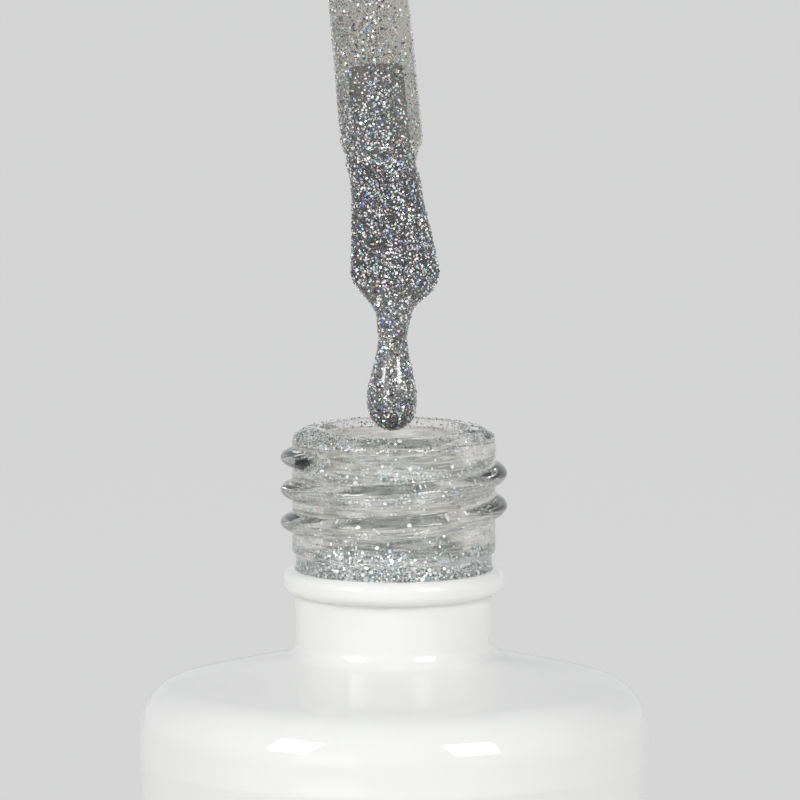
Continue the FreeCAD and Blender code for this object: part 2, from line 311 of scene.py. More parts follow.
def glitterShades(tree, gelColour, stops, cellMm, flakeShare, lean):
    # Fine glitter in gel: each cell is one flake with its own tilt and tint, or bare gel.
    place = addNode(tree, "ShaderNodeTexCoord")
    cells = addNode(tree, "ShaderNodeTexVoronoi", {
        "Vector": place.outputs["Object"], "Scale": 1 / (cellMm * mm)}, feature="F1")
    parts = addNode(tree, "ShaderNodeSeparateColor", {0: cells.outputs["Color"]})
    isFlake = addNode(tree, "ShaderNodeMath", {
        0: parts.outputs[0], 1: flakeShare}, operation="LESS_THAN")
    tone = addNode(tree, "ShaderNodeValToRGB", {"Fac": parts.outputs[1]})
    fillSteps(tone.color_ramp, stops)
    surface = addNode(tree, "ShaderNodeNewGeometry")
    centred = addNode(tree, "ShaderNodeVectorMath", {
        0: cells.outputs["Color"], 1: (0.5, 0.5, 0.5)}, operation="SUBTRACT")
    amount = addNode(tree, "ShaderNodeMath", {0: isFlake.outputs[0], 1: lean}, operation="MULTIPLY")
    tilted = addNode(tree, "ShaderNodeVectorMath", {
        0: centred.outputs[0], "Scale": amount.outputs[0]}, operation="SCALE")
    summed = addNode(tree, "ShaderNodeVectorMath", {
        0: surface.outputs["Normal"], 1: tilted.outputs[0]}, operation="ADD")
    normal = addNode(tree, "ShaderNodeVectorMath", {0: summed.outputs[0]}, operation="NORMALIZE")
    colour = addNode(tree, "ShaderNodeMix", {
        "Factor": isFlake.outputs[0], 6: gelColour, 7: tone.outputs[0]}, data_type="RGBA")
    return isFlake.outputs[0], colour.outputs[2], normal.outputs[0]


spectralStops = [(0.86, "#9fc4e8"), (0.90, "#a8e0c8"), (0.935, "#e8b48a"), (0.965, "#d9a4c8"),
                 (0.985, "#7f9cf0")]
wetStops = [(0.0, "#2c2d2c"), (0.35, "#74746f"), (0.62, "#dcdcd8")] + spectralStops
dryStops = [(0.0, "#a9b1b4"), (0.25, "#d5dde0"), (0.55, "#fbfdfd")] + spectralStops[:2]


def wetGlitterGel(name, darkHex, thinHex, thinFrom, thinTo):
    # Uncured gel polish packed with fine silver flake: wet and glassy, near black over the bristles and
    # greyer where it hangs alone, from thinFrom down to thinTo over the rim.
    material, tree = newMaterial(name)
    place = addNode(tree, "ShaderNodeTexCoord")
    height = addNode(tree, "ShaderNodeSeparateXYZ", {0: place.outputs["Object"]})
    thin = addNode(tree, "ShaderNodeMapRange", {
        0: height.outputs[2], 1: (rimHeight + thinFrom) * mm, 2: (rimHeight + thinTo) * mm, 3: 0.0,
        4: 1.0})
    gel = addNode(tree, "ShaderNodeMix", {
        "Factor": thin.outputs[0], 6: hexColour(darkHex), 7: hexColour(thinHex)}, data_type="RGBA")
    isFlake, colour, normal = glitterShades(tree, gel.outputs[2], wetStops,
                                            cellMm=0.085, flakeShare=0.45, lean=1.3)
    shade = addNode(tree, "ShaderNodeBsdfPrincipled", {
        "Base Color": colour, "Metallic": isFlake, "Roughness": 0.32, "Normal": normal,
        "Coat Weight": 0.2, "Coat Roughness": 0.03, "Coat IOR": 1.48})
    finishMaterial(tree, shade.outputs[0])
    return material


def thinGlitterFilm(name, stops, cellMm, flakeShare, streak, haze, thickHaze, darkHex, hazeHex,
                    clearHex):
    # A wiped film of the same polish: resin in hazy streaks with scattered fine flakes, thicker where
    # "cover" is higher.
    material, tree = newMaterial(name)
    isFlake, colour, normal = glitterShades(tree, hexColour(hazeHex), stops,
                                            cellMm, flakeShare, lean=1.1)
    flake = addNode(tree, "ShaderNodeBsdfPrincipled", {
        "Base Color": colour, "Metallic": 0.9, "Roughness": 0.3, "Normal": normal})
    clear = addNode(tree, "ShaderNodeBsdfTransparent", {"Color": hexColour(clearHex)})
    place = addNode(tree, "ShaderNodeTexCoord")
    stretch = addNode(tree, "ShaderNodeMapping", {"Vector": place.outputs["Object"], "Scale": streak})
    streaks = addNode(tree, "ShaderNodeTexNoise", {
        "Vector": stretch.outputs[0], "Scale": 1 / (1.4 * mm), "Detail": 5.0})
    wisps = addNode(tree, "ShaderNodeMapRange", {
        0: streaks.outputs[0], 1: 0.40, 2: 0.60, 3: 0.0, 4: 1.0})
    tone = addNode(tree, "ShaderNodeMix", {
        "Factor": wisps.outputs[0], 6: hexColour(darkHex), 7: hexColour(hazeHex)}, data_type="RGBA")
    resin = addNode(tree, "ShaderNodeBsdfPrincipled", {"Base Color": tone.outputs[2], "Roughness": 0.35})
    share = addNode(tree, "ShaderNodeAttribute", attribute_name="cover")
    body = addNode(tree, "ShaderNodeMath", {
        0: share.outputs["Fac"], 1: thickHaze, 2: haze}, operation="MULTIPLY_ADD", use_clamp=True)
    speckled = addNode(tree, "ShaderNodeMath", {
        0: isFlake, 1: share.outputs["Fac"]}, operation="MULTIPLY")
    film = addNode(tree, "ShaderNodeMixShader", {
        0: body.outputs[0], 1: clear.outputs[0], 2: resin.outputs[0]})
    mixed = addNode(tree, "ShaderNodeMixShader", {
        0: speckled.outputs[0], 1: film.outputs[0], 2: flake.outputs[0]})
    finishMaterial(tree, mixed.outputs[0])
    return material


def clearResin():
    # Wet clear resin over the flakes: nothing of its own but a sharp gloss.
    material, tree = newMaterial("clearResin")
    gloss = addNode(tree, "ShaderNodeBsdfGlossy", {"Color": hexColour("#ffffff"), "Roughness": 0.06})
    clear = addNode(tree, "ShaderNodeBsdfTransparent", {"Color": hexColour("#ffffff")})
    edge = addNode(tree, "ShaderNodeLayerWeight")
    steep = addNode(tree, "ShaderNodeMath", {0: edge.outputs["Facing"], 1: 4.0}, operation="POWER")
    share = addNode(tree, "ShaderNodeMapRange", {0: steep.outputs[0], 3: 0.065, 4: 0.35})
    mixed = addNode(tree, "ShaderNodeMixShader", {
        0: share.outputs[0], 1: clear.outputs[0], 2: gloss.outputs[0]})
    finishMaterial(tree, mixed.outputs[0])
    return material


def flakeMetal(name, metallic, stops):
    # Hexagonal aluminised polyester flake with a diffraction coat: mirror silver, some tinted.
    material, tree = newMaterial(name)
    tint = addNode(tree, "ShaderNodeAttribute", attribute_name="tint")
    tone = addNode(tree, "ShaderNodeValToRGB", {"Fac": tint.outputs["Fac"]})
    fillSteps(tone.color_ramp, stops)
    shade = addNode(tree, "ShaderNodeBsdfPrincipled", {
        "Base Color": tone.outputs[0], "Metallic": metallic, "Roughness": 0.24})
    finishMaterial(tree, shade.outputs[0])
    return material


def milkyPolythene(name, tintHex, clearness):
    # Natural low-density polyethylene, injection moulded: waxy and milky, dark shapes show through it.
    material, tree = newMaterial(name)
    place = addNode(tree, "ShaderNodeTexCoord")
    flow = addNode(tree, "ShaderNodeTexNoise", {
        "Vector": place.outputs["Object"], "Scale": 1 / (2.5 * mm), "Detail": 3.0})
    rough = addNode(tree, "ShaderNodeMapRange", {
        "Value": flow.outputs[0], "To Min": 0.26, "To Max": 0.42})
    bump = addNode(tree, "ShaderNodeBump", {
        "Strength": 0.2, "Distance": 0.01 * mm, "Height": flow.outputs[0]})
    shade = addNode(tree, "ShaderNodeBsdfPrincipled", {
        "Base Color": hexColour(tintHex), "Roughness": rough.outputs[0], "IOR": 1.51,
        "Normal": bump.outputs[0]})
    clear = addNode(tree, "ShaderNodeBsdfTransparent", {"Color": hexColour("#f3f2ed")})
    mixed = addNode(tree, "ShaderNodeMixShader", {
        0: 1 - clearness, 1: clear.outputs[0], 2: shade.outputs[0]})
    finishMaterial(tree, mixed.outputs[0])
    return material


def mouldedPlastic(name, colourHex, roughness, grainMm):
    # Opaque moulded polypropylene or ABS: even colour, fine mould texture, soft sheen.
    material, tree = newMaterial(name)
    place = addNode(tree, "ShaderNodeTexCoord")
    grain = addNode(tree, "ShaderNodeTexNoise", {
        "Vector": place.outputs["Object"], "Scale": 1 / (grainMm * mm), "Detail": 2.0})
    bump = addNode(tree, "ShaderNodeBump", {
        "Strength": 0.15, "Distance": 0.01 * mm, "Height": grain.outputs[0]})
    rough = addNode(tree, "ShaderNodeMapRange", {
        "Value": grain.outputs[0], "To Min": roughness * 0.8, "To Max": roughness * 1.3})
    shade = addNode(tree, "ShaderNodeBsdfPrincipled", {
        "Base Color": hexColour(colourHex), "Roughness": rough.outputs[0], "IOR": 1.5,
        "Normal": bump.outputs[0]})
    finishMaterial(tree, shade.outputs[0])
    return material


def blackNylon():
    # Level nylon filament, drawn and crimped: near black, satin.
    material, tree = newMaterial("blackNylon")
    place = addNode(tree, "ShaderNodeTexCoord")
    streak = addNode(tree, "ShaderNodeTexNoise", {
        "Vector": place.outputs["Object"], "Scale": 1 / (0.4 * mm), "Detail": 2.0})
    tone = addNode(tree, "ShaderNodeValToRGB", {"Fac": streak.outputs[0]})
    tone.color_ramp.elements[0].color = hexColour("#17181a")
    tone.color_ramp.elements[1].color = hexColour("#34363a")
    shade = addNode(tree, "ShaderNodeBsdfPrincipled", {
        "Base Color": tone.outputs[0], "Roughness": 0.38, "IOR": 1.53})
    finishMaterial(tree, shade.outputs[0])
    return material


def bareSteel(name, colourHex, roughness, grainMm):
    # Stainless steel, ground or drawn: bright metal with fine working marks.
    material, tree = newMaterial(name)
    place = addNode(tree, "ShaderNodeTexCoord")
    grain = addNode(tree, "ShaderNodeTexNoise", {
        "Vector": place.outputs["Object"], "Scale": 1 / (grainMm * mm), "Detail": 4.0})
    rough = addNode(tree, "ShaderNodeMapRange", {
        "Value": grain.outputs[0], "To Min": roughness * 0.7, "To Max": roughness * 1.4})
    shade = addNode(tree, "ShaderNodeBsdfPrincipled", {
        "Base Color": hexColour(colourHex), "Metallic": 1.0, "Roughness": rough.outputs[0]})
    finishMaterial(tree, shade.outputs[0])
    return material


glassFinish = flintGlass()
enamelFinish = whiteEnamel()
gelFinish = wetGlitterGel("wetGlitterGel", "#0d0e0f", thinHex="#605f5a", thinFrom=10.0, thinTo=8.4)
resinFinish = clearResin()
brightStops = [(0.84, "#9cc6f4"), (0.89, "#8feadb"), (0.92, "#f2a66e"), (0.94, "#a8f0a0"),
               (0.955, "#ee93c6"), (0.97, "#5f86ff")]
flakeFinish = flakeMetal("spectralFlake", 1.0, [
    (0.0, "#1d1f1f"), (0.26, "#6f726f"), (0.42, "#cdcec9"), (0.52, "#ffffff")] + brightStops)
dryFlakeFinish = flakeMetal("settledFlake", 0.3, [
    (0.0, "#9d9f9d"), (0.12, "#cfd3d3"), (0.30, "#edf3f4"), (0.50, "#ffffff"), (0.95, "#b9d6f8"),
    (0.98, "#a5efe2")])
rimFlakeFinish = flakeMetal("rimFlake", 0.6, [
    (0.0, "#565a58"), (0.16, "#979b98"), (0.45, "#cfd2cf"), (0.72, "#ffffff"), (0.96, "#b9d6f8")])
sparkFinish = flakeMetal("spark", 0.3, [(0.0, "#ffffff"), (0.9, "#d9e8ff")])
glintFinish = flakeMetal("glint", 0.3, [
    (0.0, "#ffffff"), (0.60, "#d9e7ff"), (0.72, "#fff1e4"), (0.80, "#86aeff"), (0.87, "#9df2dc"),
    (0.925, "#ffbe8e"), (0.97, "#efa6da")])
stemFilmFinish = thinGlitterFilm(
    "wipedGlitterFilm", wetStops, cellMm=0.075, flakeShare=0.20, streak=(1, 1, 0.5),
    haze=0.04, thickHaze=0.03, darkHex="#8a8b87", hazeHex="#a4a5a1", clearHex="#fdfdfc")
residueFinish = thinGlitterFilm(
    "driedGlitterFilm", dryStops, cellMm=0.07, flakeShare=0.6, streak=(1, 1, 11),
    haze=0.13, thickHaze=0.50, darkHex="#4a4a48", hazeHex="#f6f9f9", clearHex="#fbfaf8")
stemFinish = milkyPolythene("milkyPolythene", "#c8c7c0", clearness=0.84)
washerFinish = milkyPolythene("washerPolythene", "#e9e9e4", clearness=0.08)
linerFinish = mouldedPlastic("linerPolypropylene", "#dadad6", roughness=0.35, grainMm=0.5)
capFinish = mouldedPlastic("overcapAbs", "#e4e4e1", roughness=0.14, grainMm=1.2)
bristleFinish = blackNylon()
ballFinish = bareSteel("polishedSteel", "#c9c9c6", roughness=0.08, grainMm=0.6)
wireFinish = bareSteel("drawnWire", "#b4b4b0", roughness=0.25, grainMm=0.1)
print("materials made")


bottle = {
    "segments": 288, "finishStep": 0.075, "bodyStep": 2.5,
    "bodyR": 16.4, "footR": 14.3, "heelFillet": 1.8,
    "seamDown": 21.5, "shoulderFall": 0.24, "shoulderFillet": 3.1,
    "neckFootDown": 14.8, "neckFootFillet": 1.3, "neckR": 6.25,
    "beadR": 7.05, "beadTopDown": 9.3, "beadHeight": 1.25, "beadFillet": 0.5,
    "wall": 2.5, "floor": 3.7, "cavityFillet": 2.8, "boreR": 4.6, "mouthBevel": 0.4,
    "pushUpR": 10.5, "pushUpDepth": 0.9,
    "finishR": 6.6, "finishFootR": 6.37, "finishFootHeight": 1.1, "lipDrop": 0.55, "lipLandR": 5.75,
}
thread = {
    "pitch": 2.117, "height": 0.75, "rootWidth": 1.32, "turns": 2.3,
    "endDown": 1.63, "endAngle": 222.5, "easeTurns": 0.045, "crestPower": 0.85,
}
coat = {"segments": 256, "thickness": 0.15, "bottom": 0.9, "seamRidge": 0.03, "seamWidth": 0.16}


def shoulderHeight(r):
    return rimHeight - bottle["neckFootDown"] - bottle["shoulderFall"] * (r - bottle["neckR"])


def threadSwell(r, z, angle):
    # Adds the right-hand thread ridge to the finish wall, with both of its ends eased in.
    degrees = math.degrees(angle)
    top = rimHeight - thread["endDown"]
    low = top - thread["pitch"] * thread["turns"]
    if r < bottle["finishFootR"] - 0.05 or not low - 1 < z < top + 1:
        return r
    rise = 0
    for k in range(-1, int(thread["turns"]) + 2):
        turnsDown = (thread["endAngle"] - degrees) / 360 + k
        if not 0 < turnsDown < thread["turns"]:
            continue
        u = abs(z - top + turnsDown * thread["pitch"]) / (thread["rootWidth"] / 2)
        ends = min(turnsDown, thread["turns"] - turnsDown) / thread["easeTurns"]
        rise = max(rise, max(0, 1 - u * u) ** thread["crestPower"] * math.sqrt(smoothStep(ends)))
    return r + thread["height"] * rise


def glassOuter():
    b = bottle
    seam = rimHeight - b["seamDown"]
    beadTop = rimHeight - b["beadTopDown"]
    beadLow = beadTop - b["beadHeight"]
    neckFoot = rimHeight - b["neckFootDown"]
    body = [
        (0, b["pushUpDepth"], 0),
        (b["pushUpR"] - 2 * b["pushUpDepth"], b["pushUpDepth"], 0.8),
        (b["pushUpR"], 0, 0.3),
        (b["footR"], 0, b["heelFillet"]),
        (b["bodyR"], seam, 0),
        (b["bodyR"], shoulderHeight(b["bodyR"]), b["shoulderFillet"]),
        (b["neckR"], neckFoot, b["neckFootFillet"]),
        (b["neckR"], beadLow, b["beadFillet"] / 2),
        (b["beadR"], beadLow, b["beadFillet"]),
        (b["beadR"], beadTop, b["beadFillet"]),
        (b["finishFootR"], beadTop, 0.05),
        (b["finishFootR"], beadTop + b["finishFootHeight"], 0.1),
        (b["finishR"], beadTop + b["finishFootHeight"] + b["finishR"] - b["finishFootR"], 0.1),
    ]
    lip = [
        (b["finishR"], rimHeight - b["lipDrop"], b["lipDrop"] * 0.8),
        (b["lipLandR"], rimHeight, b["lipDrop"]),
        (b["boreR"] + b["mouthBevel"], rimHeight, 0.18),
        (b["boreR"], rimHeight - b["mouthBevel"], 0.2),
    ]
    return body, lip


def cavityOutline(gap=0.0):
    b = bottle
    sideTop = b["bodyR"] - b["wall"] - gap
    roof = shoulderHeight(sideTop) - b["wall"] - gap
    return [
        (0, b["floor"] + gap, 0),
        (b["footR"] - b["wall"] - gap, b["floor"] + gap, b["cavityFillet"]),
        (sideTop, rimHeight - b["seamDown"], 0),
        (sideTop, roof, b["shoulderFillet"] - b["wall"] / 2),
        (b["boreR"], shoulderHeight(b["boreR"]) - b["wall"] - gap, b["neckFootFillet"]),
    ]


body, lip = glassOuter()
finishLow = body[-1]
outer = roundedOutline(body + lip + cavityOutline()[::-1], 7)
fine = []
for a, b in zip(outer, outer[1:]):
    inFinish = min(a.x, b.x) > finishLow[0] - 0.01 and min(a.y, b.y) > finishLow[1] - 0.2
    fine += refined([a, b], bottle["finishStep"] if inFinish else bottle["bodyStep"])[:-1]
fine.append(outer[-1])
points, faces = turnedMesh(fine, bottle["segments"], threadSwell)
bottleShell = meshPiece("bottleGlass", points, faces, glassFinish)
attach(bottleShell, "bottle")
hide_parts("bottle_glass")
print("bottle glass made,", len(faces), "faces")


def grown(corners, amount):
    # The outline moved out along its sides' normals, with fillets to match
    sides = []
    for (r0, z0, _), (r1, z1, _) in zip(corners, corners[1:]):
        along = Vector((r1 - r0, z1 - z0)).normalized()
        sides.append((Vector((r0 + along.y * amount, z0 - along.x * amount)), along))
    moved = []
    for (p, u), (q, w), corner in zip(sides, sides[1:], corners[1:]):
        turn = u.x * w.y - u.y * w.x
        step = ((q.x - p.x) * w.y - (q.y - p.y) * w.x) / turn
        fillet = max(0, corner[2] + math.copysign(amount, turn)) if corner[2] else 0
        moved.append((p.x + u.x * step, p.y + u.y * step, fillet))
    return moved


def enamelCoat():
    b, c = bottle, coat
    seam = rimHeight - b["seamDown"]
    beadTop = body[9][1]
    glass = [(0, 0, 0)] + body[3:10] + [(0, beadTop, 0)]

    def skin(lift):
        line = roundedOutline([(0, 0, 0)] + grown(glass, lift) + [(0, beadTop + lift, 0)], 10)[1:-1]
        edge = Vector((b["finishFootR"] + 0.01, beadTop + lift))
        return [p for p in line if p.y > c["bottom"]] + [edge]

    seamR = b["bodyR"] + c["thickness"]
    outside = [p for p in skin(c["thickness"]) if abs(p.y - seam) > c["seamWidth"]]
    at = next(i for i, p in enumerate(outside) if p.y > seam)
    outside[at:at] = [Vector((seamR, seam - c["seamWidth"])), Vector((seamR + c["seamRidge"], seam)),
                      Vector((seamR, seam + c["seamWidth"]))]
    heel = outside[0] + Vector((-c["thickness"] * 0.5, -0.03))
    return refined([heel] + outside, 2.0) + skin(0.005)[::-1]


points, faces = turnedMesh(enamelCoat(), coat["segments"], None, True)
enamel = meshPiece("enamelCoat", points, faces, enamelFinish)
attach(enamel, "bottle")
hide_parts("bottle_coat")
print("enamel coat made,", len(faces), "faces")


pool = {
    "segments": 160, "levelDown": 24.0, "gap": 0.05, "wellR": 6.8, "wellEdge": 0.6, "sag": 0.3,
    # out and up from the level at the wall
    "meniscus": [(0.02, -0.1), (0, 0), (-0.35, -0.17), (-1.1, -0.26)],
}


def liquidOutline():
    # A ring of polish with a well that the brush comes down into, and a meniscus at the glass
    level = rimHeight - pool["levelDown"]
    corners = cavityOutline(pool["gap"])[:4]
    corners[0] = (pool["wellR"], corners[0][1], 0)
    side = [p for p in roundedOutline(corners, 7) if p.y < level - 0.4]
    reach, well = side[-1].x, side[0]
    side += [Vector((reach + out, level + up)) for out, up in pool["meniscus"]]
    side += [Vector((well.x + pool["wellEdge"], level - pool["sag"])),
             Vector((well.x, level - pool["sag"] - pool["wellEdge"] * 2 / 3)), well]
    return refined(side, 1.5)[:-1]


points, faces = turnedMesh(liquidOutline(), pool["segments"], None, True)
liquid = meshPiece("polishPool", points, faces, gelFinish)
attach(liquid, "bottle")
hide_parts("polish_fill")

dressNode("mixing_balls", ballFinish)
print("polish pool and balls made")


def newTree(name, numbers):
    # a geometry tree that is given a mesh, some numbers, a seed and a material
    tree = bpy.data.node_groups.new(name, "GeometryNodeTree")
    sockets = [("Geometry", "Geometry")] + [(number, "Float") for number in numbers]
    for socket, kind in sockets + [("Seed", "Int"), ("Material", "Material")]:
        tree.interface.new_socket(socket, in_out="INPUT", socket_type="NodeSocket" + kind)
    tree.interface.new_socket("Geometry", in_out="OUTPUT", socket_type="NodeSocketGeometry")
    return tree, addNode(tree, "NodeGroupInput").outputs


def flakeTree(name):
    # Scatters hexagonal plates over a host surface, each with its own tilt, size, depth and tint.
    tree, given = newTree(name, ("Density", "Smallest", "Largest", "Tilt", "Depth", "Proud"))
    share = addNode(tree, "GeometryNodeInputNamedAttribute", {"Name": "cover"}, data_type="FLOAT")
    density = addNode(tree, "ShaderNodeMath", {
        0: given["Density"], 1: share.outputs["Attribute"]}, operation="MULTIPLY")
    spots = addNode(tree, "GeometryNodeDistributePointsOnFaces", {
        "Mesh": given["Geometry"], "Density": density.outputs[0],
        "Seed": given["Seed"]}, distribute_method="RANDOM")
    depth = addNode(tree, "FunctionNodeRandomValue", {
        2: given["Depth"], 3: given["Proud"], "Seed": 11}, data_type="FLOAT")
    offset = addNode(tree, "ShaderNodeVectorMath", {
        0: spots.outputs["Normal"], "Scale": depth.outputs[1]}, operation="SCALE")
    sunk = addNode(tree, "GeometryNodeSetPosition", {
        "Geometry": spots.outputs["Points"], "Offset": offset.outputs[0]})
    plate = addNode(tree, "GeometryNodeMeshCylinder", {
        "Vertices": 6, "Radius": 1.0, "Depth": 0.16}, fill_type="NGON")
    flip = addNode(tree, "ShaderNodeMath", {0: given["Tilt"], 1: -1.0}, operation="MULTIPLY")
    lowTilt = addNode(tree, "ShaderNodeCombineXYZ", {0: flip.outputs[0], 1: flip.outputs[0], 2: 0.0})
    highTilt = addNode(tree, "ShaderNodeCombineXYZ", {
        0: given["Tilt"], 1: given["Tilt"], 2: 2 * math.pi})
    turn = addNode(tree, "FunctionNodeRandomValue", {
        0: lowTilt.outputs[0], 1: highTilt.outputs[0], "Seed": 12}, data_type="FLOAT_VECTOR")
    lean = addNode(tree, "FunctionNodeRotateRotation", {
        0: spots.outputs["Rotation"], 1: turn.outputs[0]}, rotation_space="LOCAL")
    size = addNode(tree, "FunctionNodeRandomValue", {
        2: given["Smallest"], 3: given["Largest"], "Seed": 13}, data_type="FLOAT")
    plates = addNode(tree, "GeometryNodeInstanceOnPoints", {
        "Points": sunk.outputs[0], "Instance": plate.outputs["Mesh"], "Rotation": lean.outputs[0],
        "Scale": size.outputs[1]})
    tint = addNode(tree, "FunctionNodeRandomValue", {2: 0.0, 3: 1.0, "Seed": 14}, data_type="FLOAT")
    marked = addNode(tree, "GeometryNodeStoreNamedAttribute", {
        "Geometry": plates.outputs[0], "Name": "tint",
        "Value": tint.outputs[1]}, data_type="FLOAT", domain="INSTANCE")
    real = addNode(tree, "GeometryNodeRealizeInstances", {"Geometry": marked.outputs[0]})
    dressed = addNode(tree, "GeometryNodeSetMaterial", {
        "Geometry": real.outputs[0], "Material": given["Material"]})
    addNode(tree, "NodeGroupOutput", {0: dressed.outputs[0]})
    return tree


def runTree(piece, tree, values):
    # Runs a node tree on a piece and leaves the result in it as a plain mesh.
    modifier = piece.modifiers.new(tree.name, "NODES")
    modifier.node_group = tree
    names = {item.name: item.identifier for item in tree.interface.items_tree if item.in_out == "INPUT"}
    for name, value in values.items():
        modifier[names[name]] = value
    bpy.context.view_layer.update()
    result = bpy.data.meshes.new_from_object(piece.evaluated_get(bpy.context.evaluated_depsgraph_get()))
    piece.modifiers.clear()
    piece.data = result


scatterFlakes = flakeTree("scatterFlakes")


def flakesOn(name, points, faces, cover, body, finish, place=None, **values):
    host = meshPiece(name, points, faces, finish, place)
    markCover(host, points, cover)
    runTree(host, scatterFlakes, dict(values, Material=finish))
    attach(host, body)
    print(name, len(host.data.polygons) // 8, "flakes")


# The polish wets the bore, so it shows right across the neck. Its film and flakes therefore lie a hair's
# breadth inside the glass, where no air gap mirrors them away.
residue = {
    "sunk": 0.03, "thickness": 0.10, "topDown": 0.02, "bottomDown": 12.5, "segments": 160,
    "footFrom": 7.2, "bandFrom": 1.7, "bandTo": 4.4, "density": 68e6, "sparkDensity": 4.5e6,
    "everywhere": 0.04, "atFoot": 0.9, "inBand": 0.12, "bandWisps": 0.6, "wisps": 0.15,
}
smear = {"angle": 222.0, "spread": 34.0, "reach": 1.6, "dust": 0.26, "wisps": 0.4, "density": 70e6}
r = residue


def residueCover(p):
    # Dense at the foot of the clear glass, a loose band of bright flakes higher up, wisps elsewhere.
    x, y, z = p
    down = rimHeight - z
    angle = math.atan2(y, x)
    wisp = noise.noise(Vector((math.cos(angle) * 2.2, math.sin(angle) * 2.2, z * 0.9)))
    foot = smoothStep((down - r["footFrom"] + 1.1 * wisp) / 1.6)
    band = smoothStep((down - r["bandFrom"]) / 0.9) * smoothStep((r["bandTo"] - down) / 1.3)
    wisp = max(0, wisp)
    return min(1.0, r["everywhere"] + r["atFoot"] * foot
               + band * (r["inBand"] + r["bandWisps"] * wisp) + r["wisps"] * wisp)


filmOuter, filmInner = bottle["boreR"] + r["sunk"], bottle["boreR"] + r["sunk"] - r["thickness"]
top, low = rimHeight - bottle["mouthBevel"] - r["topDown"], rimHeight - r["bottomDown"]
filmOutline = [Vector((filmOuter, low)), Vector((filmOuter, top)), Vector((filmInner, top - 0.1)),
               Vector((filmInner, low + 0.1)), Vector((filmOuter, low))]
points, faces = turnedMesh(refined(filmOutline, 0.3)[:-1], r["segments"], None, True)
film = meshPiece("neckFilm", points, faces, residueFinish)
markCover(film, points, residueCover)
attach(film, "bottle")
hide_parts("neck_residue")

flakeLine = refined([Vector((filmOuter, low)), Vector((filmOuter, top))], 0.3)
points, faces = turnedMesh(flakeLine, r["segments"])
flakesOn("neckSparks", points, faces, residueCover, "bottle", sparkFinish, Density=r["sparkDensity"],
         Smallest=0.08 * mm, Largest=0.16 * mm, Tilt=0.3, Depth=0.10 * mm, Proud=0.14 * mm, Seed=31)
flakesOn("neckFlakes", points, faces, residueCover, "bottle", dryFlakeFinish, Density=r["density"],
         Smallest=0.025 * mm, Largest=0.09 * mm, Tilt=0.6, Depth=0.0, Proud=0.07 * mm, Seed=3)


def smearCover(p):
    # One thick smear where the brush was wiped on the lip, and a thin dusting round the rest of the rim.
    x, y, z = p
    degrees = math.degrees(math.atan2(y, x)) % 360
    away = abs((degrees - smear["angle"] + 180) % 360 - 180) / smear["spread"]
    wisp = noise.noise(Vector((x * 0.5, y * 0.5, z * 0.8)))
    dust = max(0.0, smear["dust"] + smear["wisps"] * wisp)
    return min(1.0, dust + smoothStep(1.3 - away) * smoothStep((z - rimHeight + smear["reach"]) / 1.2))


lipLine = [p for p in roundedOutline([finishLow] + lip + [(bottle["boreR"], rimHeight - 2, 0)], 7)
           if p.y > rimHeight - smear["reach"]]
points, faces = turnedMesh(refined(lipLine, 0.25), r["segments"])
flakesOn("rimFlakes", points, faces, smearCover, "bottle", rimFlakeFinish, Density=smear["density"],
         Smallest=0.025 * mm, Largest=0.07 * mm, Tilt=0.5, Depth=-0.01 * mm, Proud=0.03 * mm, Seed=21)
print("neck residue made")

stem = {
    "segments": 96, "flangeUp": 0.9, "length": 33.5, "topR": 2.35, "mouthR": 2.55, "bevel": 0.35,
    "flangeR": 6.9, "flangeThickness": 1.0, "hubR": 3.0, "hubHeadR": 3.5, "hubHeadHeight": 0.8,
    "capCeiling": 1.2, "rimGap": 0.1, "socketR": 1.8, "socketDepth": 5.6,
    "film": 0.12, "filmHeight": 15.0, "filmRows": 40, "gloss": 0.02, "density": 24e6, "glints": 12e6,
    "leastCover": 0.08, "coverFade": 0.66, "wipedShare": 0.75,
}
mouthZ = stem["flangeUp"] - stem["length"]
flangeTop = stem["flangeUp"] + stem["flangeThickness"]
headZ = flangeTop + stem["rimGap"] * 2 + stem["capCeiling"]


def stemR(above):
    return stem["mouthR"] + (stem["topR"] - stem["mouthR"]) * above / stem["length"]


s = stem
stemOutline = roundedOutline([
    (0, mouthZ + s["socketDepth"], 0),
    (s["socketR"], mouthZ + s["socketDepth"], 0.3),
    (s["socketR"], mouthZ, 0.1),
    (stemR(0) - s["bevel"], mouthZ, 0.12),
    (stemR(0.7), mouthZ + 0.7, 0.5),
    (s["topR"], s["flangeUp"], 0.4),
    (s["flangeR"], s["flangeUp"], 0.2),
    (s["flangeR"], flangeTop, 0.2),
    (s["hubR"], flangeTop, 0.2),
    (s["hubR"], headZ, 0.08),
    (s["hubHeadR"], headZ, 0.12),
    (s["hubHeadR"] - 0.4, headZ + s["hubHeadHeight"], 0.3),
    (0, headZ + s["hubHeadHeight"], 0),
], 5)
points, faces = turnedMesh(refined(stemOutline, 1.5), s["segments"])
stemPiece = meshPiece("brushStem", points, faces, stemFinish, wandPlace)
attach(stemPiece, "brush")
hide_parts("brush_stem")

filmHigh = mouthZ + 0.7 + s["filmHeight"]


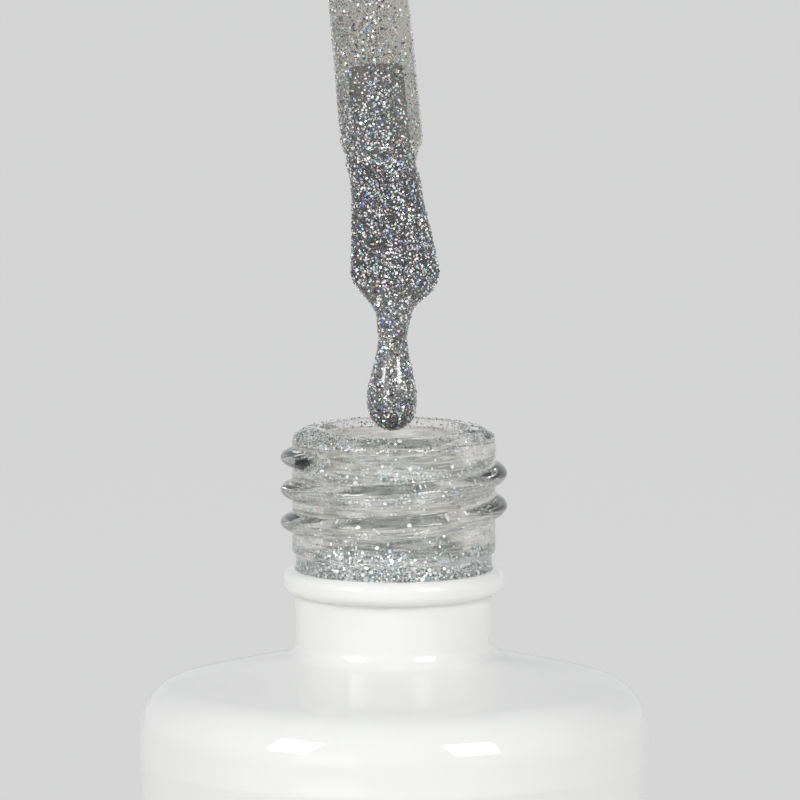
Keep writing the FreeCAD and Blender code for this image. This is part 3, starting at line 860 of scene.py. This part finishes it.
def filmLine(lift):
    # Down the stem, round the bevel and onto the bristles, lift clear of the plastic
    endR = stemR(0) - s["bevel"]
    line = [Vector((endR - 0.12 + lift * 0.5, mouthZ - 0.7)), Vector((endR - 0.04 + lift, mouthZ - 0.3)),
            Vector((endR + 0.03 + lift, mouthZ)), Vector((stemR(0.3) - 0.1 + lift, mouthZ + 0.3)),
            Vector((stemR(0.7) + lift, mouthZ + 0.8))]
    for k in range(1, s["filmRows"] + 1):
        z = mouthZ + 0.8 + (filmHigh - mouthZ - 0.8) * k / s["filmRows"]
        line.append(Vector((stemR(z - mouthZ) + lift * min(1, 0.15 + (filmHigh - z) / 1.5), z)))
    return line


def stemCover(p):
    # the film thins out towards its top and on the side that the brush was wiped on
    x, y, z = p
    wisp = noise.noise(Vector((x * 0.5, y * 0.5, z * 0.35)))
    up = (z - mouthZ) / s["filmHeight"]
    wiped = smoothStep((x + 0.35 * wisp - 0.9) / 1.3)
    covered = 1.0 - s["coverFade"] * smoothStep(up * 1.6 + 0.4 * wisp)
    return max(s["leastCover"], covered * (1 - s["wipedShare"] * wiped))


outside, inside = filmLine(s["film"]), filmLine(0.015)
points, faces = turnedMesh(outside + inside[::-1], s["segments"], None, True)
stemFilm = meshPiece("stemFilm", points, faces, stemFilmFinish, wandPlace)
markCover(stemFilm, points, stemCover)
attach(stemFilm, "brush")
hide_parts("stem_film")

points, faces = turnedMesh(outside, s["segments"])
flakesOn("stemFlakes", points, faces, stemCover, "brush", flakeFinish, wandPlace, Density=s["density"],
         Smallest=0.03 * mm, Largest=0.09 * mm, Tilt=0.6, Depth=-0.08 * mm, Proud=-0.01 * mm, Seed=5)
flakesOn("stemGlints", points, faces, stemCover, "brush", glintFinish, wandPlace, Density=s["glints"],
         Smallest=0.045 * mm, Largest=0.10 * mm, Tilt=0.4, Depth=-0.03 * mm, Proud=0.0, Seed=6)
points, faces = turnedMesh(filmLine(s["film"] + s["gloss"]), s["segments"])
stemGloss = meshPiece("stemGloss", points, faces, resinFinish, wandPlace)
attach(stemGloss, "brush")
print("stem made")

tuft = {
    "length": 8.9, "halfWidth": 2.55, "halfThickness": 1.1, "rootR": 1.7, "bristleR": 0.045,
    "count": 560,
    "dome": 1.4,       # how much lower the outer bristles start
    "inset": 0.1,      # the bundle stays this far inside its own outline
}


def bristleTree(name):
    # A bundle of filaments, round in the socket, that spreads and flattens below the stem's mouth.
    tree, given = newTree(name, ("Root Radius", "Half Width", "Half Thickness", "Top", "Dome", "Mouth",
                                 "Length", "Bristle Radius", "Density"))
    disc = addNode(tree, "GeometryNodeMeshCircle", {
        "Vertices": 32, "Radius": given["Root Radius"]}, fill_type="NGON")
    roots = addNode(tree, "GeometryNodeDistributePointsOnFaces", {
        "Mesh": disc.outputs[0], "Density": given["Density"],
        "Seed": given["Seed"]}, distribute_method="RANDOM")
    start = addNode(tree, "ShaderNodeCombineXYZ", {2: given["Top"]})
    end = addNode(tree, "ShaderNodeMath", {0: given["Mouth"], 1: given["Length"]}, operation="SUBTRACT")
    finish = addNode(tree, "ShaderNodeCombineXYZ", {2: end.outputs[0]})
    strand = addNode(tree, "GeometryNodeMeshLine", {
        "Count": 12, "Start Location": start.outputs[0],
        "Offset": finish.outputs[0]}, mode="END_POINTS", count_mode="TOTAL")
    strands = addNode(tree, "GeometryNodeInstanceOnPoints", {
        "Points": roots.outputs["Points"], "Instance": strand.outputs[0]})
    real = addNode(tree, "GeometryNodeRealizeInstances", {"Geometry": strands.outputs[0]})
    where = addNode(tree, "GeometryNodeInputPosition")
    parts = addNode(tree, "ShaderNodeSeparateXYZ", {0: where.outputs[0]})
    below = addNode(tree, "ShaderNodeMath", {
        0: given["Mouth"], 1: parts.outputs[2]}, operation="SUBTRACT")
    share = addNode(tree, "ShaderNodeMapRange", {
        0: below.outputs[0], 1: 0.0, 2: given["Length"], 3: 0.0,
        4: 1.0}, interpolation_type="SMOOTHSTEP")
    widen = addNode(tree, "ShaderNodeMath", {
        0: given["Half Width"], 1: given["Root Radius"]}, operation="DIVIDE")
    thin = addNode(tree, "ShaderNodeMath", {
        0: given["Half Thickness"], 1: given["Root Radius"]}, operation="DIVIDE")
    across = addNode(tree, "ShaderNodeMapRange", {0: share.outputs[0], 3: 1.0, 4: widen.outputs[0]})
    deep = addNode(tree, "ShaderNodeMapRange", {0: share.outputs[0], 3: 1.0, 4: thin.outputs[0]})
    # the bundle's folded top is a dome: outer bristles start lower
    flat = addNode(tree, "ShaderNodeCombineXYZ", {0: parts.outputs[0], 1: parts.outputs[1]})
    outward = addNode(tree, "ShaderNodeVectorMath", {0: flat.outputs[0]}, operation="LENGTH")
    bend = addNode(tree, "ShaderNodeMapRange", {
        0: outward.outputs["Value"], 1: 0.0, 2: given["Root Radius"], 3: 0.0, 4: 1.0})
    bendMore = addNode(tree, "ShaderNodeMath", {0: bend.outputs[0], 1: 3.0}, operation="POWER")
    rise = addNode(tree, "ShaderNodeMapRange", {
        0: parts.outputs[2], 1: given["Mouth"], 2: given["Top"], 3: 0.0, 4: given["Dome"]})
    dip = addNode(tree, "ShaderNodeMath", {
        0: rise.outputs[0], 1: bendMore.outputs[0]}, operation="MULTIPLY")
    newZ = addNode(tree, "ShaderNodeMath", {
        0: parts.outputs[2], 1: dip.outputs[0]}, operation="SUBTRACT")
    newX = addNode(tree, "ShaderNodeMath", {
        0: parts.outputs[0], 1: across.outputs[0]}, operation="MULTIPLY")
    newY = addNode(tree, "ShaderNodeMath", {
        0: parts.outputs[1], 1: deep.outputs[0]}, operation="MULTIPLY")
    moved = addNode(tree, "ShaderNodeCombineXYZ", {
        0: newX.outputs[0], 1: newY.outputs[0], 2: newZ.outputs[0]})
    spread = addNode(tree, "GeometryNodeSetPosition", {
        "Geometry": real.outputs[0], "Position": moved.outputs[0]})
    lines = addNode(tree, "GeometryNodeMeshToCurve", {"Mesh": spread.outputs[0]})
    section = addNode(tree, "GeometryNodeCurvePrimitiveCircle", {
        "Resolution": 6, "Radius": given["Bristle Radius"]})
    tubes = addNode(tree, "GeometryNodeCurveToMesh", {
        "Curve": lines.outputs[0], "Profile Curve": section.outputs[0], "Fill Caps": True})
    solid = addNode(tree, "GeometryNodeRealizeInstances", {"Geometry": tubes.outputs[0]})
    dressed = addNode(tree, "GeometryNodeSetMaterial", {
        "Geometry": solid.outputs[0], "Material": given["Material"]})
    addNode(tree, "NodeGroupOutput", {0: dressed.outputs[0]})
    return tree


bristles = meshPiece("bristles", [(0, 0, 0)], [], bristleFinish)
t = tuft
rootArea = math.pi * (t["rootR"] - t["inset"]) ** 2 * mm * mm
runTree(bristles, bristleTree("bristleBundle"), {
    "Root Radius": (t["rootR"] - t["inset"]) * mm, "Half Width": (t["halfWidth"] - t["inset"]) * mm,
    "Half Thickness": (t["halfThickness"] - t["inset"]) * mm,
    "Top": (mouthZ + s["socketDepth"] - t["inset"]) * mm, "Dome": t["dome"] * mm,
    "Mouth": mouthZ * mm, "Length": (t["length"] - 4 * t["inset"]) * mm,
    "Bristle Radius": t["bristleR"] * mm, "Density": t["count"] / rootArea, "Seed": 2,
    "Material": bristleFinish})
bristles.data.transform(wandPlace)
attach(bristles, "brush")
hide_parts("bristle_tuft")
print("bristles made,", len(bristles.data.polygons), "faces")

dressNode("tuft_anchor", wireFinish)

dropLook = {
    "segments": 72, "perSection": 5, "tipDown": 0.155, "gloss": 0.05, "density": 24e6, "glints": 15e6,
}
# Sections from the stem's mouth down to the drop's tip, in mm: height over the rim, centre along X,
# half width and half thickness.
dropSections = [
    (18.0, -0.86, 2.1, 2.1), (17.6, -0.84, 2.22, 2.22), (17.0, -0.79, 2.26, 2.2), (16.2, -0.56, 2.27, 1.98),
    (14.9, -0.40, 2.31, 1.66), (12.7, -0.14, 2.58, 1.44), (10.7, 0.05, 2.82, 1.36), (9.9, 0.08, 2.84, 1.34),
    (9.5, 0.11, 2.70, 1.32), (9.1, 0.14, 2.45, 1.28), (8.7, 0.12, 2.12, 1.24), (8.3, 0.06, 1.72, 1.18),
    (7.9, 0.0, 1.38, 1.10), (7.5, 0.0, 1.17, 1.04), (7.1, -0.02, 1.08, 1.0), (6.5, -0.06, 0.98, 0.95),
    (5.9, -0.07, 0.91, 0.91), (5.2, -0.08, 0.98, 0.98), (4.4, -0.09, 1.14, 1.14), (3.6, -0.10, 1.33, 1.33),
    (2.8, -0.12, 1.51, 1.51), (2.0, -0.13, 1.60, 1.60), (1.3, -0.12, 1.56, 1.56), (0.7, -0.11, 1.36, 1.36),
    (0.25, -0.10, 1.02, 1.02), (-0.03, -0.10, 0.58, 0.58), (-0.12, -0.10, 0.30, 0.30),
]


def sectionAt(t):
    # Catmull-Rom through the sections
    i = min(int(t), len(dropSections) - 2)
    u = t - i
    rows = [dropSections[min(max(i + k, 0), len(dropSections) - 1)] for k in (-1, 0, 1, 2)]
    return [b + 0.5 * ((c - a) * u + (2 * a - 5 * b + 4 * c - d) * u ** 2 + (3 * b - a - 3 * c + d) * u ** 3)
            for a, b, c, d in zip(*rows)]


def dropMesh(skin=0.0):
    # the points, the side's faces and the faces that close both ends
    points, sides = [], []
    segments, perSection = dropLook["segments"], dropLook["perSection"]
    count = (len(dropSections) - 1) * perSection
    for k in range(count + 1):
        z, x, wide, thick = sectionAt(k / perSection)
        for j in range(segments):
            angle = 2 * math.pi * j / segments
            points.append((x + (wide + skin) * math.cos(angle), (thick + skin) * math.sin(angle),
                           rimHeight + z))
    for ring in range(0, count * segments, segments):
        for j in range(segments):
            n = (j + 1) % segments
            sides.append((ring + n, ring + j, ring + segments + j, ring + segments + n))
    tip = len(points)
    points.append((dropSections[-1][1], 0, rimHeight - dropLook["tipDown"]))
    last = count * segments
    ends = [(last + (j + 1) % segments, last + j, tip) for j in range(segments)]
    return points, sides, [tuple(range(segments))] + ends


def dropCover(p):
    # flakes drift into loose clumps
    return 0.75 + 0.5 * noise.noise(Vector(p) * 0.8)


points, sides, ends = dropMesh()
drop = meshPiece("polishDrop", points, sides + ends, gelFinish)
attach(drop, "brush")
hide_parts("polish_drop")
flakesOn("dropFlakes", points, sides, dropCover, "brush", flakeFinish, Density=dropLook["density"],
         Smallest=0.035 * mm, Largest=0.10 * mm, Tilt=0.7, Depth=-0.01 * mm, Proud=0.02 * mm, Seed=8)
flakesOn("dropGlints", points, sides, dropCover, "brush", glintFinish, Density=dropLook["glints"],
         Smallest=0.04 * mm, Largest=0.095 * mm, Tilt=0.4, Depth=0.0, Proud=0.02 * mm, Seed=9)
points, sides, _ = dropMesh(dropLook["gloss"])
dropGloss = meshPiece("dropGloss", points, sides, resinFinish)
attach(dropGloss, "brush")
print("drop made")

dressNode("seal_washer", washerFinish)
dressNode("inner_cap", linerFinish)
dressNode("outer_cap", capFinish)
print("caps dressed")

low, high = cadBox
